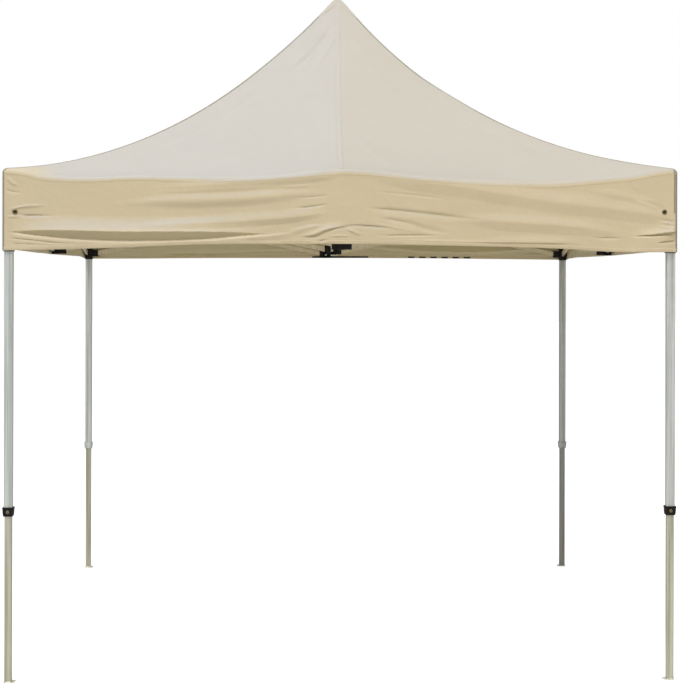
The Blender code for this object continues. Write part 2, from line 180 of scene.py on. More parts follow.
# The long bulge over the hem on the left, a short one left of the middle and one at the right end
VALANCE_TUCKS = (
    Tuck(((-1.47, 1.995), (-1.38, 2.001), (-1.12, 2.000), (-0.98, 1.997), (-0.72, 1.998), (-0.45, 1.9945),
          (-0.33, 1.988)),
         ((-1.47, 1.9945), (-1.38, 1.983), (-1.25, 1.970), (-1.12, 1.962), (-0.98, 1.957), (-0.85, 1.958),
          (-0.72, 1.961), (-0.58, 1.968), (-0.45, 1.979), (-0.33, 1.988)), 0.070, 0.62, 0.012, 0.013),
    Tuck(((-0.17, 1.977), (-0.12, 1.987), (-0.076, 2.006), (0.02, 2.026)),
         ((-0.17, 1.976), (-0.12, 1.978), (-0.076, 1.997), (0.02, 2.0255)), 0.030, 1.2, 0.005, 0.010),
    Tuck(((1.29, 1.983), (1.40, 1.993), (1.49, 2.006)), ((1.29, 1.983), (1.40, 1.985), (1.49, 1.994)),
         0.035, 1.6, 0.013, 0.008),
)

# A roof panel's folds, by distance out from the middle and across it
ROOF_FOLDS = (
    Fold(((0.12, -0.02), (0.2, -0.06), (0.29, -0.13), (0.38, -0.21), (0.44, -0.26)), 0.018, 0.026, -0.013,
         "round", (0.35, 0.4)),
    Fold(((0.17, 0.0), (0.25, -0.035), (0.36, -0.10), (0.46, -0.16)), 0.026, 0.020, 0.007, "round",
         (0.3, 0.5)),
    Fold(((0.15, 0.05), (0.4, 0.19), (0.8, 0.5)), 0.045, 0.040, 0.003, "round", (0.3, 0.6)),
    Fold(((0.3, -0.2), (0.7, -0.55), (1.3, -1.2)), 0.050, 0.060, -0.004, "round", (0.4, 0.4)),
    Fold(((0.4, 0.3), (0.8, 0.66), (1.35, 1.24)), 0.060, 0.050, -0.004, "round", (0.4, 0.4)),
    Fold(((0.8, -0.05), (1.15, -0.16), (1.44, -0.3)), 0.045, 0.050, 0.004, "round", (0.5, 0.3)),
    Fold(((0.8, 0.06), (1.15, 0.2), (1.44, 0.36)), 0.050, 0.045, 0.004, "round", (0.5, 0.3)),
)

# The pole leans a little. The hips on the right hang lower near the peak and fuller further down.
LEAN = 0.022
LEAN_FROM = 2.262
RIGHT_HIPS = (
    (0.0, 0.0), (0.1, -0.010), (0.2, -0.013), (0.28, -0.011), (0.36, 0.0), (0.52, 0.012), (0.73, 0.020),
    (0.93, 0.016), (1.0, 0.008),
)
# The cloth stands off the peak in a small round knob
KNOB = 0.005
KNOB_REACH = 0.03
PUSH_ROOM = 0.008  # how far in the cloth may go before it meets the bars
CORNER_PUSH_ROOM = 0.0025  # the same at the brackets

# Seams, hems, eyelets and stitches
HEM_BAND = 0.015
HEM_THICK = 0.0010
SEAM_HALF = 0.006
SEAM_THICK = 0.0016
EAVE_SEAM_DROP = 0.004
MIDDLE_SEAM_HALF = 0.015
PEAK_PATCH = 0.11  # its points, down the hips
PATCH_MIDDLE = 0.03
TAB_SPOT = 0.013  # the strip of tape beside a valance's right end, from the eave down to the eyelet
TAB_END = 2.095
EYELET_SPOTS = (("left", -1.446, 2.083), ("right", 1.444, 2.091))
EYELET_RADIUS = 0.0120
# The black strips inside the back hem, from one distance to another on the right of the middle
HEM_STRIPS = (
    (-0.09, 0.26), (0.51, 0.55), (0.58, 0.62), (0.65, 0.69), (0.72, 0.76), (0.79, 0.83), (0.86, 0.90),
)
HEM_STRIP_WIDTH = 0.009
HEM_STRIP_THICK = 0.0012
HEM_STRIP_OFF = 0.0012
STITCH_PITCH = 0.008
STITCH_LENGTH = 0.0052
STITCH_RADIUS = 0.0006
STITCH_LIFT = 0.0015

# Legs and their fittings
LEG_ROUND = 0.0045
LEG_WALL = 0.0015
LEG_EASE = 0.0006
INNER_LEG = 0.032
FOOT_PLATE = 0.003
PEG_HOLE = 0.0045
PEG_SPOT = 0.0235  # inwards from the leg's axis, along X and along Y
BUTTON_RADIUS = 0.0080
BUTTON_HEIGHT = 0.0028

# Camera, fitted to the photograph
CAMERA_PLACE = (-0.2334, -8.8906, 1.7907)
CAMERA_TURN = (math.radians(90), -0.0021, -0.0305)
FOCAL_PIXELS = 1665.3
PHOTO_HEIGHT = 688
HORIZON_PIXEL = 278.65
SENSOR = 36.0

# Light
SKY_LOW = 0.33
SKY_HIGH = 0.55
FLOOR_GLOW = 0.72
KEY_WATTS = 600
FILL_WATTS = 66

# Finish
THREAD_PITCH = 0.0016
# Colours of the painted sky sheen, lighter and greyer than the tan cloth, on the cover's left and right
# widths; the right one is warmer
LEFT_WIDTH_SKY_SHEEN = ((0.55, 0.53, 0.495), (0.59, 0.57, 0.53))
RIGHT_WIDTH_SKY_SHEEN = ((0.545, 0.512, 0.452), (0.585, 0.552, 0.488))
# How strong the painted sky sheen is: two stretches of its height, each with its share at both ends, added up
SKY_SHEEN_STEPS = ((1.998, 2.018, 0.2, 0.65), (2.19, 2.25, 0.0, 0.35))
# the leg that gets darker metal, a painted shadow
PAINTED_SHADE_LEG = "back_right"
LESS_SHEEN_CORNER_SIDES = ("front", "left")  # the sides that meet at the corner where the painted sky sheen is held back


# Materials


class Nodes:
    """A node tree under construction."""

    def __init__(self, tree):
        self.tree = tree

    def feed(self, socket, value):
        if isinstance(value, bpy.types.NodeSocket):
            self.tree.links.new(value, socket)
        elif isinstance(value, tuple) and len(value) == 3 and socket.type == "RGBA":
            socket.default_value = (*value, 1.0)
        else:
            socket.default_value = value

    def node(self, kind, inputs=(), **settings):
        made = self.tree.nodes.new("ShaderNode" + kind)
        for setting, value in settings.items():
            setattr(made, setting, value)
        for socket, value in dict(inputs).items():
            self.feed(made.inputs[socket], value)
        return made


class Finish(Nodes):
    """A procedural material under construction."""

    def __init__(self, name, sockets):
        self.material = bpy.data.materials.new(name)
        self.material.use_nodes = True
        super().__init__(self.material.node_tree)
        self.shader = self.tree.nodes["Principled BSDF"]
        for socket, value in sockets.items():
            self.feed(self.shader.inputs[socket], value)
        self.place = self.node("TexCoord").outputs["Object"]

    def math(self, operation, first, second=0.0):
        return self.node("Math", {0: first, 1: second}, operation=operation).outputs[0]

    def stretched(self, scale):
        return self.node("Mapping", {"Vector": self.place, "Scale": scale}).outputs[0]

    def noise(self, scale, detail=3.0, rough=0.5, place=None):
        inputs = {"Vector": place or self.place, "Scale": scale, "Detail": detail, "Roughness": rough}
        return self.node("TexNoise", inputs).outputs["Fac"]

    def spread(self, value, low, high, to_low=0.0, to_high=1.0):
        """A value's range from low to high, made to run smoothly between two others."""
        inputs = {"Value": value, "From Min": low, "From Max": high, "To Min": to_low, "To Max": to_high}
        return self.node("MapRange", inputs, interpolation_type="SMOOTHSTEP").outputs[0]

    def mix(self, factor, first, second):
        return self.node("Mix", {0: factor, 6: first, 7: second}, data_type="RGBA").outputs[2]

    def bump(self, height, distance, under=None):
        inputs = {"Height": height, "Distance": distance, "Strength": 1.0}
        if under:
            inputs["Normal"] = under
        return self.node("Bump", inputs).outputs[0]

    def weave(self, pitch):
        """Threads that cross at a pitch, as a height from 0 to 1."""
        x, y, z = self.node("SeparateXYZ", {0: self.place}).outputs
        turns = 2 * math.pi / pitch
        across = self.math("SINE", self.math("MULTIPLY", x, turns))
        down = self.math("SINE", self.math("MULTIPLY", self.math("ADD", y, z), turns))
        crossed = self.math("MULTIPLY", across, down)
        return self.math("MULTIPLY_ADD", crossed, 0.5)

    def woven(self, color, shade, share, relief, under=None, pitch=THREAD_PITCH):
        """A colour shaded by its threads, and their relief."""
        threads = self.weave(pitch)
        shaded = self.mix(self.math("MULTIPLY", threads, share), color, shade)
        return shaded, self.bump(threads, relief, under)

    def crumple(self):
        return self.bump(self.noise(7.0, 5.0, 0.6), 0.006)

    def gloss(self, noise, low, high):
        """A roughness that follows a noise."""
        return self.spread(noise, 0.3, 0.7, low, high)

    def done(self, color, roughness=None, normal=None):
        self.feed(self.shader.inputs["Base Color"], color)
        if roughness is not None:
            self.feed(self.shader.inputs["Roughness"], roughness)
        if normal is not None:
            self.feed(self.shader.inputs["Normal"], normal)
        return self.material


def outer_cloth(name, pale, paler, less_sheen_end=0):
    """Tan woven cloth, with a painted sky sheen, a lighter and greyer colour, where it faces up, and painted
    shade, a deeper olive colour, where it faces down.

    Near a corner at its left or right end, -1 or 1, the painted sky sheen can be held back.
    """
    finish = Finish(name, {"Sheen Weight": 0.3, "Sheen Roughness": 0.45, "Specular IOR Level": 0.3})
    patches = finish.noise(1.6, 4.0, 0.55)
    tan = finish.mix(patches, (0.665, 0.555, 0.36), (0.715, 0.605, 0.40))
    # painted sky sheen: the colour laid on where the cloth faces up
    sky_sheen = finish.mix(patches, pale, paler)
    up = finish.node("SeparateXYZ", {0: finish.node("NewGeometry").outputs["Normal"]}).outputs[2]
    height = finish.node("SeparateXYZ", {0: finish.place}).outputs[2]
    sheen_by_height = finish.math("ADD", *(finish.spread(height, *step) for step in SKY_SHEEN_STEPS))
    # painted sky sheen, stronger the more the cloth faces up and the higher it is
    sheen_share = finish.math("MULTIPLY", finish.spread(up, 0.03, 0.5), sheen_by_height)
    if less_sheen_end:
        # the painted sky sheen is held back near that corner
        corner = (less_sheen_end * HALF, -HALF, EAVE)
        off = finish.node("VectorMath", {0: finish.place, 1: corner}, operation="DISTANCE").outputs[1]
        sheen_share = finish.math("MULTIPLY", sheen_share, finish.spread(off, 0.10, 0.29, 0.3, 1.0))
    color = finish.mix(sheen_share, tan, sky_sheen)
    # painted shade: a deeper olive colour where the cloth faces down
    color = finish.mix(finish.spread(up, -0.2, -0.6), color, (0.525, 0.45, 0.258))
    dust = finish.spread(finish.noise(9.0, 6.0, 0.65), 0.35, 0.75)
    color = finish.mix(finish.math("MULTIPLY", dust, 0.10), color, (0.52, 0.45, 0.31))
    color, normal = finish.woven(color, (0.45, 0.38, 0.25), 0.06, 0.00012, finish.crumple())
    return finish.done(color, finish.gloss(finish.noise(30.0, 4.0), 0.68, 0.82), normal)


def inner_cloth():
    """The coated underside of the cloth, more olive and a little smoother."""
    finish = Finish("cover_cloth_inside", {"Sheen Weight": 0.1, "Specular IOR Level": 0.4})
    color = finish.mix(finish.noise(2.2, 4.0, 0.55), (0.66, 0.585, 0.365), (0.74, 0.66, 0.42))
    color, normal = finish.woven(color, (0.36, 0.31, 0.19), 0.08, 0.00008, finish.crumple())
    return finish.done(color, finish.gloss(finish.noise(24.0, 4.0), 0.50, 0.66), normal)


def binding_tape():
    """Ribbed tape that binds the hips and the corners, a little darker than the cloth."""
    finish = Finish("binding_tape", {"Sheen Weight": 0.25, "Specular IOR Level": 0.3})
    color = finish.mix(finish.noise(12.0, 4.0, 0.6), (0.25, 0.235, 0.185), (0.33, 0.31, 0.245))
    color, normal = finish.woven(color, (0.22, 0.20, 0.15), 0.12, 0.0003, pitch=0.0022)
    return finish.done(color, finish.gloss(finish.noise(60.0), 0.70, 0.85), normal)


def coated_metal(name, light, dark, metallic, rough=0.34):
    """Satin coated tube, drawn lengthways, a little scuffed and dulled."""
    finish = Finish(name, {"Metallic": metallic, "Specular IOR Level": 0.5})
    drawn = finish.noise(1.0, 4.0, 0.6, finish.stretched((260.0, 260.0, 3.0)))
    bands = finish.noise(1.0, 2.0, 0.5, finish.stretched((55.0, 55.0, 0.9)))
    worn = finish.noise(16.0, 6.0, 0.65)
    fine = finish.math("MULTIPLY", finish.spread(drawn, 0.3, 0.7), 0.4)
    wide = finish.math("MULTIPLY", finish.spread(bands, 0.36, 0.62), 0.6)
    color = finish.mix(finish.math("ADD", fine, wide), dark, light)
    scuffs = finish.spread(worn, 0.62, 0.74)
    color = finish.mix(finish.math("MULTIPLY", scuffs, 0.25), color, dark)
    relief = finish.bump(drawn, 0.0001, finish.bump(finish.noise(420.0, 3.0), 0.00012))
    return finish.done(color, finish.gloss(worn, rough - 0.06, rough + 0.10), relief)


def black_plastic():
    """Moulded black nylon, finely grained and dusty."""
    finish = Finish("black_plastic", {"Specular IOR Level": 0.22})
    dust = finish.spread(finish.noise(22.0, 6.0, 0.65), 0.4, 0.75)
    color = finish.mix(dust, (0.007, 0.006, 0.006), (0.018, 0.017, 0.015))
    grain = finish.bump(finish.noise(700.0, 2.0), 0.00025)
    return finish.done(color, finish.gloss(finish.noise(60.0, 5.0), 0.40, 0.58), grain)


def speckled(name, sockets, grain, first, second, rough, relief=0.0):
    """A finish whose colour and relief follow one noise, and its roughness too where that is a pair."""
    finish = Finish(name, sockets)
    noise = finish.noise(*grain)
    roughness = finish.gloss(noise, *rough) if isinstance(rough, tuple) else rough
    normal = finish.bump(noise, relief) if relief else None
    return finish.done(finish.mix(noise, first, second), roughness, normal)


MATERIALS = {
    # The cover cloths carry painted sky sheen where they face up and painted shade where they face down; two
    # of them hold the sheen back near one corner
    "outside": outer_cloth("cover_cloth_left_width", *LEFT_WIDTH_SKY_SHEEN),
    "outside_right": outer_cloth("cover_cloth_right_width", *RIGHT_WIDTH_SKY_SHEEN),
    "less_sheen_left": outer_cloth("cover_cloth_left_width_kept_corner", *LEFT_WIDTH_SKY_SHEEN, -1),
    "less_sheen_right": outer_cloth("cover_cloth_right_width_kept_corner", *RIGHT_WIDTH_SKY_SHEEN, 1),
    "inside": inner_cloth(),
    "tape": binding_tape(),
    "thread": speckled(
        "thread", {"Sheen Weight": 0.3, "Specular IOR Level": 0.4}, (900.0, 2.0),
        (0.58, 0.49, 0.32), (0.70, 0.60, 0.41), (0.55, 0.7), 0.0002,
    ),
    "strip": speckled(
        "black_hem_strip", {"Sheen Weight": 0.2, "Specular IOR Level": 0.3}, (800.0, 4.0, 0.7),
        (0.010, 0.009, 0.008), (0.030, 0.028, 0.024), 0.9, 0.0004,
    ),
    "upper_leg": coated_metal("upper_leg_metal", (0.86, 0.88, 0.85), (0.50, 0.53, 0.49), 0.45),
    # darker copy of the upper leg metal for one leg: painted shadow
    "upper_leg_dull": coated_metal("upper_leg_metal_dull", (0.64, 0.65, 0.63), (0.36, 0.37, 0.35), 0.45),
    "lower_leg": coated_metal("lower_leg_metal", (0.76, 0.76, 0.62), (0.42, 0.42, 0.29), 0.45),
    # darker copy of the lower leg metal for the same leg: painted shadow
    "lower_leg_dull": coated_metal("lower_leg_metal_dull", (0.46, 0.46, 0.42), (0.24, 0.24, 0.22), 0.45),
    # the bars' warm tan: partly their own light warm-grey paint, partly painted warm light let through the
    # cover
    "bar": coated_metal("bar_metal", (0.86, 0.75, 0.53), (0.72, 0.62, 0.43), 0.2),
    "plastic": black_plastic(),
    "foot": coated_metal("foot_plate_metal", (0.93, 0.93, 0.90), (0.80, 0.80, 0.74), 0.1, 0.5),
    "eyelet": speckled(
        "eyelet_metal", {"Metallic": 0.8}, (90.0, 5.0, 0.6),
        (0.17, 0.145, 0.075), (0.28, 0.24, 0.14), (0.35, 0.55), 0.0002,
    ),
    # a dark disc in place of the eyelet's hole: painted shade
    "hole": speckled(
        "eyelet_hole_painted_shade", {"Specular IOR Level": 0.1}, (200.0, 4.0),
        (0.040, 0.033, 0.015), (0.075, 0.062, 0.030), 0.9,
    ),
}


# Meshes


def smooth(share):
    share = np.clip(share, 0, 1)
    return share * share * (3 - 2 * share)


def curve(points, at):
    """A smooth curve through points, whose first values rise, read at each place."""
    xs, ys = np.array(points, float).T
    slopes = np.gradient(ys, xs)
    i = np.clip(np.searchsorted(xs, at, side="right") - 1, 0, len(xs) - 2)
    step = xs[i + 1] - xs[i]
    u = np.clip((at - xs[i]) / step, 0, 1)
    ends = ys[i] * (1 + 2 * u) * (1 - u) ** 2 + ys[i + 1] * u**2 * (3 - 2 * u)
    return ends + step * (slopes[i] * u * (1 - u) ** 2 - slopes[i + 1] * u**2 * (1 - u))


def turned(points, turn):
    """Points turned round Z."""
    c, s = math.cos(turn), math.sin(turn)
    return points @ np.array(((c, s, 0), (-s, c, 0), (0, 0, 1)))


def mirrored(points):
    return tuple((-t, value) for t, value in reversed(points))


def add_object(name, data, place=(0.0, 0.0, 0.0), turn=(0.0, 0.0, 0.0)):
    obj = bpy.data.objects.new(name, data)
    obj.location = place
    obj.rotation_euler = turn
    bpy.context.scene.collection.objects.link(obj)
    return obj


def add_mesh(name, points, faces, material, body="frame", turn=0.0):
    """A new piece on a body, from points made as if for the front side."""
    mesh = bpy.data.meshes.new(name)
    mesh.from_pydata(np.asarray(points).reshape(-1, 3).tolist(), [], faces)
    return add_piece(name, mesh, material, body, turn)


def add_piece(name, mesh, material, body="frame", turn=0.0):
    """A new piece on a body, smooth but for its sharp edges."""
    work = bmesh.new()
    work.from_mesh(mesh)
    bmesh.ops.recalc_face_normals(work, faces=work.faces)
    work.to_mesh(mesh)
    work.free()
    mesh.materials.clear()
    mesh.materials.append(MATERIALS[material])
    mesh.shade_smooth()
    mesh.set_sharp_from_angle(angle=SHARP_EDGE)
    obj = add_object(name, mesh, turn=(0.0, 0.0, turn))
    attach(obj, body)
    return obj


def grid_faces(rows, columns):
    """Faces of a grid of points."""
    corners = [r * columns + c for r in range(rows - 1) for c in range(columns - 1)]
    return [(i, i + 1, i + columns + 1, i + columns) for i in corners]


def sweep_faces(stations, ring, wrap=False):
    """Faces of closed rings joined along stations, closed at both ends or, with wrap, into a loop."""
    last = stations if wrap else stations - 1
    faces = [
        (s * ring + p, s * ring + (p + 1) % ring,
         (s + 1) % stations * ring + (p + 1) % ring, (s + 1) % stations * ring + p)
        for s in range(last) for p in range(ring)
    ]
    if not wrap:
        faces += [tuple(range(ring)), tuple(range((stations - 1) * ring, stations * ring))]
    return faces


def add_sweep(name, rings, material, body="frame", turn=0.0, wrap=False):
    """A new piece on a body, from closed rings of points."""
    rings = np.asarray(rings)
    return add_mesh(name, rings, sweep_faces(len(rings), rings.shape[1], wrap), material, body, turn)


# The cover's surface


def roof_height(u):
    """Height of the roof, from u = 0 at the peak to u = 1 at the eave."""
    rounded = (np.hypot(u, PEAK_ROUND) - PEAK_ROUND) / (math.hypot(1, PEAK_ROUND) - PEAK_ROUND)
    climb = 1 - rounded
    return EAVE + (PEAK - EAVE) * (FOOT_SLOPE * climb + (1 - FOOT_SLOPE) * climb**2)


def soft_waves(seed, count, shortest, longest, height):
    """Random long waves over two coordinates, as a function of them."""
    draw = np.random.default_rng(seed)
    length = draw.uniform(shortest, longest, count)
    heading = draw.uniform(0, math.pi, count)
    phase = draw.uniform(0, 2 * math.pi, count)

    def height_at(a, b):
        total = np.zeros(np.broadcast(a, b).shape)
        for wave, angle, start in zip(length, heading, phase):
            total += np.sin(2 * math.pi / wave * (a * math.cos(angle) + b * math.sin(angle)) + start)
        return total * height / math.sqrt(count)

    return height_at


def folds_push(folds, along, level):
    """How far folds push the cloth out, at distances along them and at levels across them."""
    push = np.zeros(np.broadcast(along, level).shape)
    for fold in folds:
        start, end = fold.path[0][0], fold.path[-1][0]
        share = (along - start) / (end - start)
        strength = smooth(share / fold.fade[0]) * smooth((1 - share) / fold.fade[1])
        off = level - curve(fold.path, along)
        width = np.where(off > 0, fold.above, fold.below) * (0.4 + 0.6 * strength)
        crest = np.clip(1 - np.abs(off) / width, 0, 1)
        if fold.section == "sharp":
            crest = crest**2
        elif fold.section == "round":
            crest = smooth(crest)
        else:
            crest = np.where(off > 0, smooth(crest), crest)
        push += fold.depth * crest * strength
    return push


def tucks_push(tucks, along, level):
    """How far tucks push the cloth out."""
    push = np.zeros(np.broadcast(along, level).shape)
    for tuck in tucks:
        start, end = tuck.crest[0][0], tuck.crest[-1][0]
        crest, hollow = curve(tuck.crest, along), curve(tuck.hollow, along)
        tall = np.maximum(crest - hollow, 0.0001)
        inside = (along > start) & (along < end)
        over = np.clip(1 - (level - crest) / tuck.above, 0, 1) ** 1.7
        under = np.clip((level - hollow) / tall, 0, 1)
        push += tuck.steep * tall * inside * np.where(level > crest, over, under)
        ends = smooth((along - start) / 0.06) * smooth((end - along) / 0.06)
        push += tuck.flare * ends * (1 - (1 - np.clip((hollow - level) / tuck.flare_reach, 0, 1)) ** 2)
    return push


def varied(folds, seed, mirror):
    """The same kind of folds for another side: moved, deepened or eased a little, and mirrored or not."""
    draw = np.random.default_rng(seed)
    made = []
    for fold in folds:
        shift, lift, strength = draw.uniform(-0.05, 0.05), draw.uniform(-0.012, 0.012), draw.uniform(0.5, 1.2)
        path = tuple((a + shift * (abs(a) < 1.2), b + lift) for a, b in fold.path)
        fade = fold.fade
        if mirror:
            path, fade = mirrored(path), fade[::-1]
        made.append(fold._replace(path=path, depth=fold.depth * strength, fade=fade))
    return tuple(made)


def varied_tucks(tucks, seed, mirror):
    """Tucks for another side: moved along, lowered or lifted a little, and eased."""
    draw = np.random.default_rng(seed)
    made = []
    for tuck in tucks:
        lift, shift, strength = draw.uniform(-0.010, 0.004), draw.uniform(0.03, 0.12), draw.uniform(0.4, 0.9)
        paths = [tuple((a + shift, b + lift) for a, b in path) for path in (tuck.crest, tuck.hollow)]
        crest, hollow = map(mirrored, paths) if mirror else paths
        made.append(tuck._replace(crest=crest, hollow=hollow, steep=tuck.steep * strength))
    return tuple(made)


def varied_roof(folds, seed, mirror):
    """Roof folds for another side: spread more or less, and deepened or eased."""
    draw = np.random.default_rng(seed)
    sign = -1 if mirror else 1
    made = []
    for fold in folds:
        sway, strength = draw.uniform(0.85, 1.1), draw.uniform(0.6, 1.3)
        path = tuple((out, sign * across * sway) for out, across in fold.path)
        made.append(fold._replace(path=path, depth=fold.depth * strength))
    return tuple(made)


def settled(points):
    """Points of the whole tent, with the roof's lean and its fuller hips on the right."""
    x, y, z = points[..., 0], points[..., 1], points[..., 2]
    share = np.clip((z - LEAN_FROM) / (PEAK - LEAN_FROM), 0, None)
    reach = np.maximum(np.abs(x), np.abs(y)) / HALF
    hip = np.minimum(np.abs(x), np.abs(y)) / HALF / np.maximum(reach, 0.01)
    right = smooth(x / HALF / np.maximum(reach, 0.01)) * smooth((z - EAVE) / 0.2 + 1)
    lift = curve(RIGHT_HIPS, np.clip(reach, 0, 1)) * right * smooth(hip)
    return np.stack((x + LEAN * share, y, z + lift), -1)


class CoverSide:
    """One side of the cover, in the front side's place: t runs across it, s down it from the peak."""

    def __init__(self, index):
        mirror = index % 2 == 1
        self.name = SIDES[index]
        self.turn = index * QUARTER
        self.drop = mirrored(EAVE_DROP) if mirror else EAVE_DROP
        self.hem = HEMS[index]
        self.folds = varied(VALANCE_FOLDS, index, mirror) if index else VALANCE_FOLDS
        self.tucks = varied_tucks(VALANCE_TUCKS[:2], 40 + index, mirror) if index else VALANCE_TUCKS
        self.roof_folds = varied_roof(ROOF_FOLDS, 10 + index, mirror) if index else ROOF_FOLDS
        self.roof_waves = soft_waves(20 + index, 14, 0.35, 1.1, 0.0016)
        self.valance_waves = soft_waves(30 + index, 14, 0.12, 0.6, 0.0009)

    def across_out(self, t, out):
        """Distance across and out, with the corner between two sides rounded."""
        radius = np.minimum(CORNER_ROUND, out / 2)
        straight = out - radius
        along = np.abs(t) * (straight + radius * QUARTER / 2)
        turn = np.clip((along - straight) / radius, 0, None)
        across = np.minimum(along, straight) + radius * np.sin(turn)
        return np.sign(t) * across, straight + radius * np.cos(turn)

    def place(self, t, s):
        """Points of the cloth's outer face before it is folded, and how steeply it hangs at each one."""
        t, s = np.broadcast_arrays(np.asarray(t, float), np.asarray(s, float))
        angle = np.clip((s - ROOF_END) / EAVE_ROUND, 0, QUARTER)
        out = np.minimum(s, ROOF_END) + EAVE_ROUND * np.sin(angle)
        u = np.minimum(s, ROOF_END) / HALF
        knob = KNOB * out / KNOB_REACH * np.exp(1 - out / KNOB_REACH)
        top = roof_height(u) - curve(self.drop, t) * u**SAG_FADE + knob
        down = np.clip((s - TURN_END) / (HEM_END - TURN_END), 0, None)
        z = top - EAVE_ROUND * (1 - np.cos(angle))
        z = z + down * (curve(self.hem, t) - z)
        across, outward = self.across_out(t, out)
        return np.stack((across, -outward, z), -1), angle

    def points(self, t, s):
        """Points of the cloth's outer face."""
        flat, angle = self.place(t, s)
        across, out, z = flat[..., 0], -flat[..., 1], flat[..., 2]
        hang = smooth((angle / QUARTER - 0.3) / 0.7)
        push = FOLD_STRENGTH * folds_push(self.folds, across, z) + tucks_push(self.tucks, across, z)
        push = hang * (push + self.valance_waves(across, z))
        push = np.maximum(push, -self.room(across))
        roof = (1 - hang) * smooth(out / 0.25)
        push = push + roof * (folds_push(self.roof_folds, out, across) + self.roof_waves(across, out))
        push = push * smooth((1 - np.abs(t)) / 0.012)
        flat[..., 1] -= push * np.sin(angle)
        flat[..., 2] += push * np.cos(angle)
        return turned(settled(turned(flat, self.turn)), -self.turn)

    def room(self, across):
        """How far in the cloth may go: less at the brackets in the corners and in the middle."""
        from_end = np.minimum(HALF - np.abs(across), np.abs(across))
        tight = smooth(1 - (from_end - 0.07) / 0.05)
        return PUSH_ROOM + (CORNER_PUSH_ROOM - PUSH_ROOM) * tight

    def normals(self, t, s):
        step = 0.002
        along = self.points(np.clip(t + step, -1, 1), s) - self.points(np.clip(t - step, -1, 1), s)
        down = self.points(t, s + step) - self.points(t, s - step)
        normal = np.cross(down, along)
        return normal / np.linalg.norm(normal, axis=-1, keepdims=True)

    def raised(self, t, s, height):
        """Points at a height over the cloth."""
        return self.points(t, s) + self.normals(t, s) * height

    def line(self, t, s, height):
        """A line of points at a height over the cloth, with the cloth's normals there."""
        return self.raised(t, s, height), self.normals(t, s)


COVER_SIDES = [CoverSide(k) for k in range(4)]


def cover_columns():
    """Values of t, closer together at the middle and the ends."""
    corner_start = 1 - CORNER_ROUND * QUARTER / 2 / HALF
    share = np.linspace(0, 1, HALF_COLUMNS + 1)
    crowded = (share - 0.6 * np.sin(2 * math.pi * share) / (2 * math.pi)) * corner_start
    corner = np.linspace(corner_start, 1, CORNER_COLUMNS + 1)[1:]
    half = np.concatenate((crowded, corner))
    return np.concatenate((-half[:0:-1], half))


def cover_rows():
    roof = PEAK_HOLE + (ROOF_END - PEAK_HOLE) * np.linspace(0, 1, ROOF_ROWS + 1) ** 1.4
    turn = np.linspace(ROOF_END, TURN_END, TURN_ROWS + 1)[1:]
    valance = np.linspace(TURN_END, HEM_END, VALANCE_ROWS + 1)[1:]
    return np.concatenate((roof, turn, valance))


def half_width(s):
    """Half the cloth's width there, to turn a distance across into a step of t."""
    out = np.minimum(s, HALF)
    radius = np.minimum(CORNER_ROUND, out / 2)
    return out - radius + radius * QUARTER / 2


def build_cloth(side):
    """A side of the cover, of two widths of cloth. The fourth material is the right width's inside."""
    t, s = cover_columns(), cover_rows()
    points = side.points(t[None, :], s[:, None])
    left_width = "less_sheen_left" if side.name == LESS_SHEEN_CORNER_SIDES[0] else "outside"
    right_width = "less_sheen_right" if side.name == LESS_SHEEN_CORNER_SIDES[1] else "outside_right"
    cover = add_mesh(f"cover_{side.name}", points, grid_faces(len(s), len(t)), left_width, turn=side.turn)
    for material in ("inside", right_width, "inside"):
        cover.data.materials.append(MATERIALS[material])
    columns, half = len(t) - 1, len(t) // 2
    widths = [2 if face % columns >= half else 0 for face in range(len(cover.data.polygons))]
    cover.data.polygons.foreach_set("material_index", widths)
    skin = cover.modifiers.new("cloth", "SOLIDIFY")
    skin.thickness = CLOTH
    skin.offset = -1
    skin.material_offset = 1
    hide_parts(f"roof_panel_{side.name}_a", f"roof_panel_{side.name}_b", f"valance_{side.name}")
    return cover


def lens(half, height, under, points=5):
    """The section of a flat seam: a low arch over a flat underside, as distance and height."""
    distances = np.linspace(-half, half, points)
    arch = [(d, height * (1 - (d / half) ** 4) + 0.0001) for d in distances]
    return [*arch, (half, -under), (-half, -under)]


def hem_section():
    """The turned-up hem, a little thicker than the cloth and round at its lower edge."""
    top, inner = -HEM_BAND + 0.0012, -CLOTH - HEM_THICK
    section = [(-HEM_BAND, 0.0002), (top, HEM_THICK), (-0.001, HEM_THICK), (0.0008, HEM_THICK / 2)]
    section += [(0.0014, -CLOTH / 2), (0.0008, inner + HEM_THICK / 2), (-0.001, inner)]
    return [*section, (top, inner), (-HEM_BAND, -CLOTH)]


def band_across(name, side, t, level, section, material="outside"):
    """A closed strip across a side, at a level down the cloth."""
    rings = [side.raised(t, level + distance, height) for distance, height in section]
    return add_sweep(name, np.stack(rings, 1), material, turn=side.turn)


def band_down(name, side, s, across, section, material="outside"):
    """A closed strip down a side, at a distance across it."""
    rings = [side.raised((across + distance) / half_width(s), s, height) for distance, height in section]
    return add_sweep(name, np.stack(rings, 1), material, turn=side.turn)


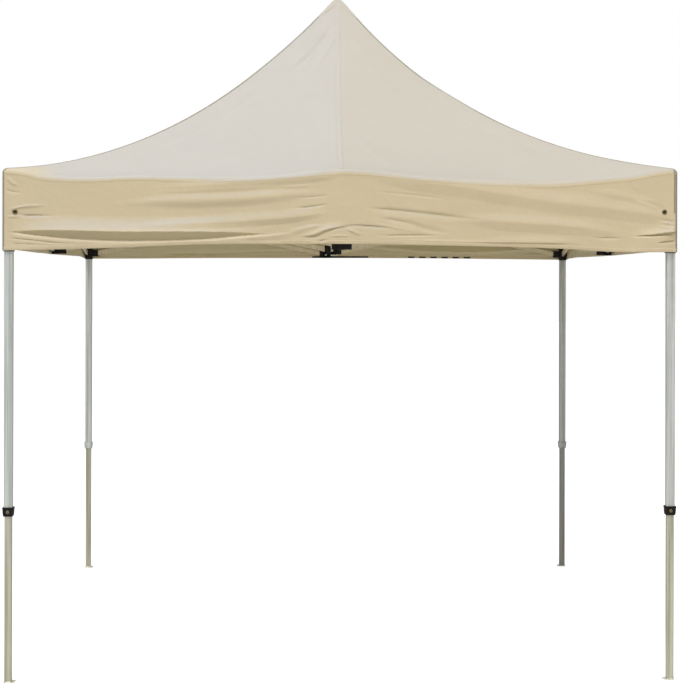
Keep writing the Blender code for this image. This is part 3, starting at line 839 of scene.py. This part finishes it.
def build_bands(side):
    """A side's hem, the seams under its eave and down its middle, and the tape down to its right eyelet."""
    t = cover_columns()
    roof = np.linspace(PATCH_MIDDLE * 0.7, ROOF_END - 0.01, 80)
    end = np.linspace(TURN_END - 0.012, TURN_END + EAVE - EAVE_ROUND - TAB_END, 30)
    eave_seam = lens(0.003, 0.0003, CLOTH / 2)
    middle_seam = lens(MIDDLE_SEAM_HALF, SEAM_THICK, CLOTH / 2, 7)
    tape = lens(0.0028, SEAM_THICK, CLOTH / 2)
    return [
        band_across(f"hem_{side.name}", side, t, HEM_END, hem_section()),
        band_across(f"eave_seam_{side.name}", side, t, TURN_END + EAVE_SEAM_DROP, eave_seam),
        band_down(f"middle_seam_{side.name}", side, roof, 0.0, middle_seam),
        band_down(f"end_tape_{side.name}", side, end, HALF - TAB_SPOT, tape, "tape"),
    ]


def build_hem_strips(side):
    """Black strips along the inside of the back hem, at its lower edge."""
    outer = -CLOTH - HEM_STRIP_OFF
    inner = outer - HEM_STRIP_THICK
    section = [(0.0, outer), (-HEM_STRIP_WIDTH, outer), (-HEM_STRIP_WIDTH, inner), (0.0, inner)]
    made = []
    for number, (start, end) in enumerate(HEM_STRIPS):
        t = -np.linspace(start, end, max(4, round((end - start) / 0.01))) / HALF
        made.append(band_across(f"hem_strip_{number}", side, t, HEM_END - 0.0005, section, "strip"))
    return made


def corner_points(k, distance, s, height):
    """Points beside the hip and corner seam between side k and the next one, in side k's place."""
    near, far = COVER_SIDES[k], COVER_SIDES[(k + 1) % 4]
    step = np.abs(distance) / half_width(s)
    if distance <= 0:
        return near.raised(1 - step, s, height)
    return turned(far.raised(step - 1, s, height), QUARTER)


def build_corner_seam(k):
    """The bound seam down a hip and on down the valances' corner."""
    s = np.concatenate((np.linspace(0.05, ROOF_END, 110), np.linspace(ROOF_END, HEM_END, 60)[1:]))
    section = lens(SEAM_HALF, 0.0014, CLOTH + 0.0005, 7)
    rings = np.stack([corner_points(k, distance, s, height) for distance, height in section], 1)
    return add_sweep(f"corner_seam_{CORNERS[k]}", rings, "tape", turn=k * QUARTER)


def stitch_mesh():
    """A stitch along X, from tip to tip, as points and faces."""
    points = [(-0.5, 0.0, 0.0)]
    for along in (-0.3, 0.3):
        for corner in range(4):
            angle = (corner + 0.5) * QUARTER
            points.append((along, math.cos(angle), math.sin(angle)))
    points.append((0.5, 0.0, 0.0))
    faces = [(0, 1 + (c + 1) % 4, 1 + c) for c in range(4)]
    faces += [(1 + c, 1 + (c + 1) % 4, 5 + (c + 1) % 4, 5 + c) for c in range(4)]
    faces += [(9, 5 + c, 5 + (c + 1) % 4) for c in range(4)]
    return np.array(points), faces


def stitch_line(path, normals):
    """Points of the stitches along a path of points, each stitch on the cloth."""
    lengths = np.concatenate(((0,), np.cumsum(np.linalg.norm(np.diff(path, axis=0), axis=1))))
    middles = np.arange(STITCH_PITCH, lengths[-1] - STITCH_PITCH, STITCH_PITCH)

    def at(values, where):
        return np.stack([np.interp(where, lengths, values[:, axis]) for axis in range(3)], 1)

    start, end = at(path, middles - STITCH_LENGTH / 2), at(path, middles + STITCH_LENGTH / 2)
    normal = at(normals, middles)
    along = (end - start) / np.linalg.norm(end - start, axis=1, keepdims=True)
    beside = np.cross(normal, along)
    local = stitch_mesh()[0] * np.array((STITCH_LENGTH, STITCH_RADIUS, STITCH_RADIUS))
    points = ((start + end) / 2)[:, None, :] + local[None, :, :1] * along[:, None, :]
    points = points + local[None, :, 1:2] * beside[:, None, :] + local[None, :, 2:] * normal[:, None, :]
    return points.reshape(-1, 3)


def build_stitches(name, lines, turn):
    """One piece of all the stitches on some lines, each a path of points and its normals."""
    points = np.concatenate([stitch_line(path, normals) for path, normals in lines])
    shape, faces = stitch_mesh()
    count = len(points) // len(shape)
    faces = [tuple(i + n * len(shape) for i in face) for n in range(count) for face in faces]
    return add_mesh(name, points, faces, "thread", turn=turn)


def side_stitches(side):
    """The stitch lines on the hem, the eave seam and the middle seam."""
    t = np.linspace(-0.995, 0.995, 500)
    margin, hem_lift = 0.004, 0.0012
    lines = [
        side.line(t, HEM_END - margin, hem_lift),
        side.line(t, HEM_END - HEM_BAND + margin, hem_lift),
        side.line(t, TURN_END + EAVE_SEAM_DROP, 0.0009),
    ]
    s = np.linspace(PATCH_MIDDLE + 0.01, ROOF_END - 0.015, 200)
    for beside in (-MIDDLE_SEAM_HALF + 0.003, MIDDLE_SEAM_HALF - 0.003):
        lines.append(side.line(beside / half_width(s), s, STITCH_LIFT))
    return build_stitches(f"stitches_{side.name}", lines, side.turn)


def corner_stitches(k):
    s = np.concatenate((np.linspace(PEAK_PATCH, ROOF_END, 220), np.linspace(ROOF_END, HEM_END, 80)[1:]))
    step = 0.001
    lines = []
    for beside in (-0.0042, 0.0042):
        path = corner_points(k, beside, s, STITCH_LIFT)
        above = corner_points(k, beside, s, STITCH_LIFT + step)
        lines.append((path, (above - path) / step))
    return build_stitches(f"stitches_{CORNERS[k]}", lines, k * QUARTER)


def patch_edge(t):
    """How far out the peak's patch reaches: little in the middle of a side, and more down the hips."""
    return PATCH_MIDDLE + (PEAK_PATCH - PATCH_MIDDLE) * np.abs(t) ** 1.3


def build_peak_patch():
    """The cap of doubled cloth sewn over the tip, with points down the hips."""
    shares = (0.0, *np.linspace(0.1, 1, 16))
    outer = [(share, SEAM_THICK if share < 1 else 0.0010) for share in shares]
    inner = [(share, -CLOTH / 2) for share in reversed(shares)]
    columns = cover_columns()[:-1:4]
    rings = []
    for share, lift in outer + inner:
        s = PEAK_HOLE + share * (patch_edge(columns) - PEAK_HOLE)
        quarters = [turned(side.raised(columns, s, lift), side.turn) for side in COVER_SIDES]
        rings.append(np.concatenate(quarters))
    patch = add_sweep("peak_patch", rings, "outside_right")
    lines = []
    t = np.linspace(-1, 1, 60)
    for side in COVER_SIDES:
        path, normals = side.line(t, patch_edge(t) - 0.006, 0.0017)
        lines.append((turned(path, side.turn), turned(normals, side.turn)))
    return [patch, build_stitches("peak_patch_stitches", lines, 0.0)]


# Fittings of the cover


def build_eyelets(side):
    """The two metal eyelets of a valance, near its corners."""
    made = []
    for end, across, height in EYELET_SPOTS:
        t = np.array(across / HALF)
        eave = side.place(t, TURN_END)[0][2]
        s = TURN_END + (eave - height) / (eave - curve(side.hem, t)) * (HEM_END - TURN_END)
        made.append(build_eyelet(f"eyelet_{side.name}_{end}", *side.line(t, s, 0.0), side.turn))
    return made


def build_eyelet(name, middle, normal, turn):
    """A rolled ring of metal round a dark disc in place of its hole, painted shade where the hole is."""
    outline = ((0.03, 0.03), (0.50, 0.04), (0.56, 0.14), (0.68, 0.24), (0.86, 0.17), (1.0, 0.02),
               (1.0, -0.30), (0.03, -0.30))
    rings = []
    for x, y in circle(28):
        ring = np.array([(r * x, r * y, h) for r, h in outline]) * EYELET_RADIUS
        rings.append(facing(middle, normal, ring))
    eyelet = add_sweep(name, rings, "eyelet", turn=turn, wrap=True)
    eyelet.data.materials.append(MATERIALS["hole"])
    for face in eyelet.data.polygons:
        face.material_index = int(face.index % len(outline) == 0)
    return eyelet


# Frame


def rounded_square(width, corner, steps=5, groove=0.0, groove_half=0.0):
    """Outline of a square with round corners and, if asked, a shallow groove down each face."""
    half = width / 2
    quarter = []
    if groove:
        flank = groove * 1.6
        quarter += [(half, -groove_half - flank), (half - groove, -groove_half)]
        quarter += [(half - groove, groove_half), (half, groove_half + flank)]
    for step in range(steps + 1):
        angle = QUARTER * step / steps
        quarter.append((half - corner + corner * math.cos(angle), half - corner + corner * math.sin(angle)))
    points = []
    for k in range(4):
        c, s = round(math.cos(k * QUARTER)), round(math.sin(k * QUARTER))
        points += [(c * x - s * y, s * x + c * y) for x, y in quarter]
    return points


def circle(steps):
    angles = [2 * math.pi * step / steps for step in range(steps)]
    return [(math.cos(angle), math.sin(angle)) for angle in angles]


def facing(middle, direction, points):
    """Points made round Z, moved to a middle and turned to face a direction."""
    turn = Vector(direction).to_track_quat("Z", "Y").to_matrix()
    return [tuple(Vector(middle) + turn @ Vector(point)) for point in points]


def stacked(loops, axis):
    """Rings from (height, outline) pairs, round an upright axis."""
    return [[(axis[0] + x, axis[1] + y, height) for x, y in outline] for height, outline in loops]


def corner_axis(corner):
    low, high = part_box(f"upper_leg_{corner}")
    middle = (low + high) / 2
    return middle.x, middle.y


# One leg gets the darker metal copies, a painted shadow.
def leg_metal(leg, corner):
    return f"{leg}_dull" if corner == PAINTED_SHADE_LEG else leg


def build_upper_leg(corner):
    low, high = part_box(f"upper_leg_{corner}")
    width = high.x - low.x

    def outline(inset):
        return rounded_square(width - 2 * inset, LEG_ROUND - inset, groove=0.0010, groove_half=0.006)

    loops = [(low.z, outline(LEG_EASE)), (low.z + LEG_EASE, outline(0)), (high.z - LEG_EASE, outline(0))]
    loops += [(high.z, outline(LEG_EASE)), (high.z, outline(LEG_WALL)), (low.z, outline(LEG_WALL))]
    rings = stacked(loops, corner_axis(corner))
    leg = add_sweep(f"upper_tube_{corner}", rings, leg_metal("upper_leg", corner), wrap=True)
    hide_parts(f"upper_leg_{corner}")


def build_lower_leg(corner):
    """The inner leg and the weld round its foot."""
    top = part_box(f"lower_leg_{corner}")[1].z
    body, axis, material = f"inner_leg_{corner}", corner_axis(corner), leg_metal("lower_leg", corner)

    def outline(inset):
        return rounded_square(INNER_LEG - 2 * inset, LEG_ROUND - inset, groove=0.0008, groove_half=0.005)

    loops = [(FOOT_PLATE * 0.9, outline(0)), (top - LEG_EASE, outline(0)), (top, outline(LEG_EASE))]
    leg = add_sweep(f"lower_tube_{corner}", stacked(loops, axis), material, body)
    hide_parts(f"lower_leg_{corner}")
    bead = ((0.0, 0.0036), (0.0012, 0.0032), (0.0028, 0.0012), (0.0036, 0.0))
    loops = [(FOOT_PLATE + up, rounded_square(INNER_LEG + 2 * out, LEG_ROUND + out)) for up, out in bead]
    loops += [(FOOT_PLATE + up, rounded_square(INNER_LEG - 0.003, 0.003)) for up in (0.0036, 0.0)]
    add_sweep(f"weld_{corner}", stacked(loops, axis), material, body, wrap=True)


def build_foot(corner):
    """The foot plate with round corners and a hole for a ground peg."""
    low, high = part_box(f"lower_leg_{corner}")
    axis = corner_axis(corner)
    hole = [place - math.copysign(PEG_SPOT, place) for place in axis]
    middle = Vector(((low.x + high.x) / 2, (low.y + high.y) / 2))
    outer = [middle + Vector(p) for p in rounded_square(high.x - low.x, 0.005, 8)]
    inner = [(hole[0] + PEG_HOLE * x, hole[1] + PEG_HOLE * y) for x, y in circle(20)]
    work = bmesh.new()
    levels = []
    for height in (0.0, FOOT_PLATE):
        rims = [[work.verts.new((*p, height)) for p in outline] for outline in (outer, inner)]
        edges = [work.edges.new(ends) for rim in rims for ends in zip(rim, rim[1:] + rim[:1])]
        bmesh.ops.triangle_fill(work, edges=edges, use_beauty=True)
        levels.append(rims)
    for lower, upper in zip(*levels):
        for i in range(len(lower)):
            j = (i + 1) % len(lower)
            work.faces.new((lower[i], lower[j], upper[j], upper[i]))
    mesh = bpy.data.meshes.new(f"foot_plate_{corner}")
    work.to_mesh(mesh)
    work.free()
    foot = add_piece(f"foot_plate_{corner}", mesh, "foot", f"inner_leg_{corner}")
    round_edges(foot, 0.0004)


def build_collar(corner):
    """The collar at the foot of the upper leg, wider at the top."""
    low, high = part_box(f"leg_collar_{corner}")
    width, tall = high.x - low.x, high.z - low.z
    outside = ((0.0, 0.80), (0.03, 0.84), (0.14, 0.90), (0.30, 0.93), (0.55, 0.95), (0.78, 0.97), (0.86, 1.0),
               (0.96, 1.0), (1.0, 0.985))
    loops = [(low.z + tall * up, rounded_square(width * size, 0.007 * size, 6)) for up, size in outside]
    inside = ((1.0, 0.0386), (0.1, 0.0386), (0.1, 0.033), (0.0, 0.033))
    loops += [(low.z + tall * up, rounded_square(size, LEG_ROUND, 6)) for up, size in inside]
    material = "plastic" if corner.startswith("front") else leg_metal("upper_leg", corner)
    collar = add_sweep(f"collar_{corner}", stacked(loops, corner_axis(corner)), material, wrap=True)
    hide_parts(f"leg_collar_{corner}")


def build_collar_button(corner):
    """The round push button on the collar's outer face."""
    low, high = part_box(f"leg_collar_{corner}")
    x, y = corner_axis(corner)
    outward, half = math.copysign(1, y), (high.x - low.x) / 2
    middle = (x, y + outward * half * 0.95, (low.z + high.z) / 2)
    rings = []
    for size, rise in ((1.0, -0.3), (1.0, 0.1), (0.92, 0.45), (0.70, 0.78), (0.38, 0.95), (0.1, 1.0)):
        radius, height = BUTTON_RADIUS * size, BUTTON_HEIGHT * rise
        ring = [(radius * a, radius * b, height) for a, b in circle(16)]
        rings.append(facing(middle, (0, outward, 0), ring))
    add_sweep(f"collar_button_{corner}", rings, "eyelet")


def round_edges(piece, width):
    rim = piece.modifiers.new("edges", "BEVEL")
    rim.width = width
    rim.segments = 2
    rim.limit_method = "ANGLE"
    return rim


def clean_copy(node):
    """The mesh of a CAD node with its triangles joined into flat faces again."""
    work = bmesh.new()
    work.from_mesh(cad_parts[node].data)
    bmesh.ops.remove_doubles(work, verts=work.verts, dist=1e-5)
    bmesh.ops.dissolve_limit(work, angle_limit=math.radians(1), verts=work.verts, edges=work.edges)
    mesh = bpy.data.meshes.new(node)
    work.to_mesh(mesh)
    work.free()
    return mesh


def dress(node, name, material="plastic", edge=0.001, leaning=False):
    """A piece in a CAD node's own shape, with its edges rounded. It can lean as the peak does."""
    mesh = clean_copy(node)
    if leaning:
        for vertex in mesh.vertices:
            vertex.co = settled(np.array(vertex.co))
    piece = add_piece(name, mesh, material)
    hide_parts(node)
    rim = round_edges(piece, edge)
    rim.angle_limit = ROUNDED_EDGE
    rim.harden_normals = True


def build_frame():
    for corner in CORNERS:
        for build in (build_upper_leg, build_lower_leg, build_foot, build_collar, build_collar_button):
            build(corner)
        dress(f"corner_bracket_{corner}", f"leg_top_bracket_{corner}", edge=0.0012)
        dress(f"corner_slider_{corner}", f"leg_slider_{corner}", edge=0.0012)
    for side in SIDES:
        dress(f"upper_side_bracket_{side}", f"truss_top_bracket_{side}")
        dress(f"lower_side_bracket_{side}", f"truss_low_bracket_{side}")
        for place in (f"{side}_a", f"{side}_b", f"middle_{side}"):
            dress(f"bar_pair_{place}", f"crossed_bars_{place}", "bar")
    dress("hub_top", "middle_hub_top")
    dress("hub_bottom", "middle_hub_bottom")
    dress("peak_pole", "centre_pole", "bar", 0.0005, leaning=True)
    dress("peak_cap", "pole_cap", edge=0.0005, leaning=True)


def build_cover():
    patch = build_peak_patch()
    for k, side in enumerate(COVER_SIDES):
        cover = build_cloth(side)
        sewn = [*build_bands(side), build_corner_seam(k), side_stitches(side), corner_stitches(k)]
        sewn += build_eyelets(side)
        sewn += patch if side.name == "front" else []
        sewn += build_hem_strips(side) if side.name == "back" else []


# Stage


def add_light(name, place, target, size, power, color):
    data = bpy.data.lights.new(name, "AREA")
    data.shape = "RECTANGLE"
    data.size, data.size_y = size
    data.energy = power
    data.color = color
    add_object(name, data, place, (Vector(target) - Vector(place)).to_track_quat("-Z", "Y").to_euler())


def build_world():
    """A soft sky that lights from above, plain white where it is seen."""
    world = bpy.data.worlds.new("studio")
    world.use_nodes = True
    bpy.context.scene.world = world
    world.node_tree.nodes.clear()
    nodes = Nodes(world.node_tree)
    up = nodes.node("SeparateXYZ", {0: nodes.node("TexCoord").outputs["Generated"]}).outputs[2]
    rise = {"Value": up, "From Min": -0.2, "From Max": 0.9, "To Min": SKY_LOW, "To Max": SKY_HIGH}
    strength = nodes.node("MapRange", rise).outputs[0]
    sky = nodes.node("Background", {"Color": (0.97, 0.985, 1.0), "Strength": strength}).outputs[0]
    seen = nodes.node("Background", {"Color": (1.0, 1.0, 1.0)}).outputs[0]
    direct = nodes.node("LightPath").outputs["Is Camera Ray"]
    surface = nodes.node("MixShader", {0: direct, 1: sky, 2: seen}).outputs[0]
    nodes.node("OutputWorld", {"Surface": surface})


def build_floor():
    """A white floor that glows a little where it is seen, so that it meets the white behind it."""
    half = 60.0
    mesh = bpy.data.meshes.new("floor")
    corners = [(-half, -half, 0), (half, -half, 0), (half, half, 0), (-half, half, 0)]
    mesh.from_pydata(corners, [], [(0, 1, 2, 3)])
    finish = Finish("floor_paint", {"Specular IOR Level": 0.0, "Emission Color": (1.0, 1.0, 1.0)})
    seen = finish.node("LightPath").outputs["Is Camera Ray"]
    finish.feed(finish.shader.inputs["Emission Strength"], finish.math("MULTIPLY", seen, FLOOR_GLOW))
    color = finish.mix(finish.noise(0.4, 3.0), (0.80, 0.80, 0.795), (0.82, 0.82, 0.815))
    mesh.materials.append(finish.done(color, 0.9))
    add_object("floor", mesh, (0.0, 0.0, -0.0005))


def build_camera():
    data = bpy.data.cameras.new("camera")
    data.sensor_width = SENSOR
    data.sensor_fit = "AUTO"
    data.lens = FOCAL_PIXELS * SENSOR / PHOTO_HEIGHT
    data.shift_y = -(PHOTO_HEIGHT / 2 - HORIZON_PIXEL) / PHOTO_HEIGHT
    bpy.context.scene.camera = add_object("camera", data, CAMERA_PLACE, CAMERA_TURN)


def build_stage():
    build_world()
    build_floor()
    build_camera()
    add_light("key", (-3.4, -5.2, 10.3), (0, -0.8, 2.2), (2.6, 2.6), KEY_WATTS, (0.985, 0.99, 1.0))
    add_light("warm_fill", (3.6, -4.0, 5.2), (1.0, -0.8, 2.5), (2.5, 2.5), FILL_WATTS, (1.0, 0.86, 0.66))
    bpy.context.scene.view_settings.view_transform = "Standard"


def write_sizes():
    bpy.context.view_layer.update()


build_cover()
build_frame()
build_stage()
write_sizes()
